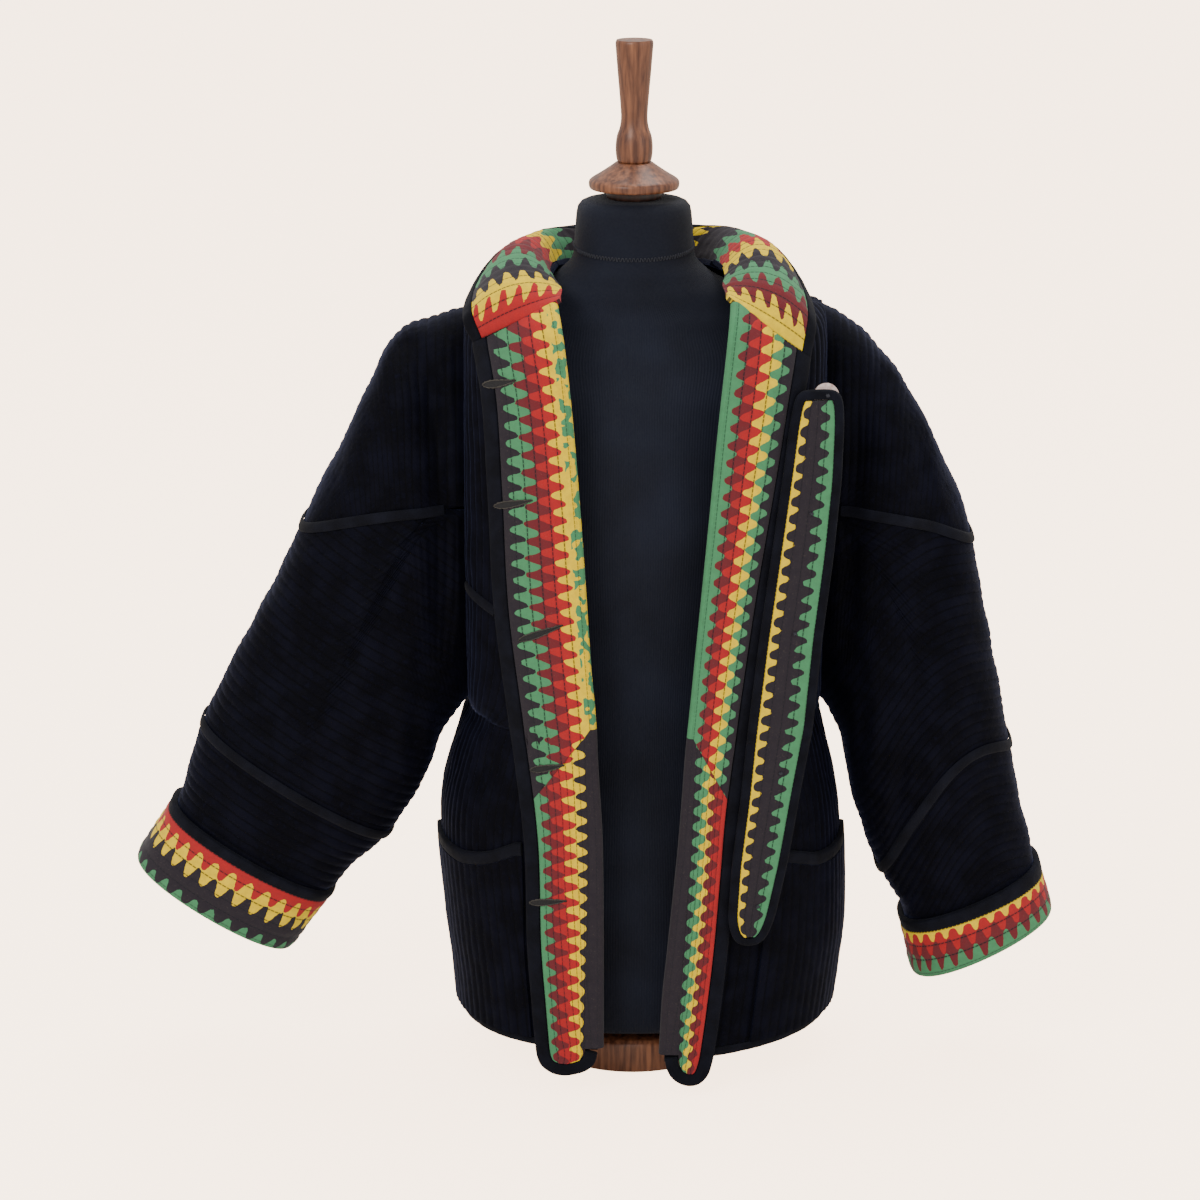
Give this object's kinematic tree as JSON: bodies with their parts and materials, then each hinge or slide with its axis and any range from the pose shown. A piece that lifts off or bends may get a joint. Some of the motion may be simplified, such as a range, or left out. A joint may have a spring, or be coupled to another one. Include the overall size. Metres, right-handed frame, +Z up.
{
  "type": "quilted jacket on a dress form",
  "caption": "Open quilted jacket with bound edges, turned-back printed fronts, collar and cuffs, standing on a limbless dress form with a turned wooden finial.",
  "frame": {"origin": "centre of the wooden base's underside, on the axis of the dress form", "axes": "+Z up; -Y towards the open front of the jacket; +X to the right as seen from the front"},
  "size_m": [0.8642, 0.2758, 0.9596],
  "materials": {
    "velvet": "quilted black velvet",
    "tape": "plain woven dark navy binding",
    "lining": "printed cotton in toothed stripes",
    "jersey": "fine ribbed navy jersey",
    "wood": "satin turned wood",
    "dark_wood": "dark satin wood",
    "shell": "pale shell"
  },
  "bodies": {
    "root": {"back": "velvet", "back_yoke_left": "velvet", "back_yoke_right": "velvet", "button_1": "shell", "button_2": "shell", "button_3": "shell", "button_4": "shell", "button_5": "shell", "collar": "lining", "collar_binding": "tape", "cuff_binding_left": "tape", "cuff_binding_right": "tape", "cuff_left": "lining", "cuff_right": "lining", "form_base": "wood", "form_body": "jersey", "form_finial": "wood", "form_neck_cap": "wood", "form_neck_ring": "dark_wood", "front_binding_left": "tape", "front_binding_right": "tape", "front_left": "velvet", "front_right": "velvet", "front_yoke_left": "velvet", "front_yoke_right": "velvet", "hem_binding_back": "tape", "hem_binding_front_left": "tape", "hem_binding_front_right": "tape", "pocket_binding_left": "tape", "pocket_binding_right": "tape", "pocket_left": "velvet", "pocket_right": "velvet", "seam_tape_lower_left": "tape", "seam_tape_lower_right": "tape", "seam_tape_upper_left": "tape", "seam_tape_upper_right": "tape", "sleeve_lower_left": "velvet", "sleeve_lower_right": "velvet", "sleeve_middle_left": "velvet", "sleeve_middle_right": "velvet", "sleeve_upper_left": "velvet", "sleeve_upper_right": "velvet", "strip": "lining", "strip_binding": "tape", "turned_front_lower_left": "lining", "turned_front_lower_right": "lining", "turned_front_upper_left": "lining", "turned_front_upper_right": "lining", "yoke_tape_back": "tape", "yoke_tape_front_left": "tape", "yoke_tape_front_right": "tape"}
  },
  "joints": []
}
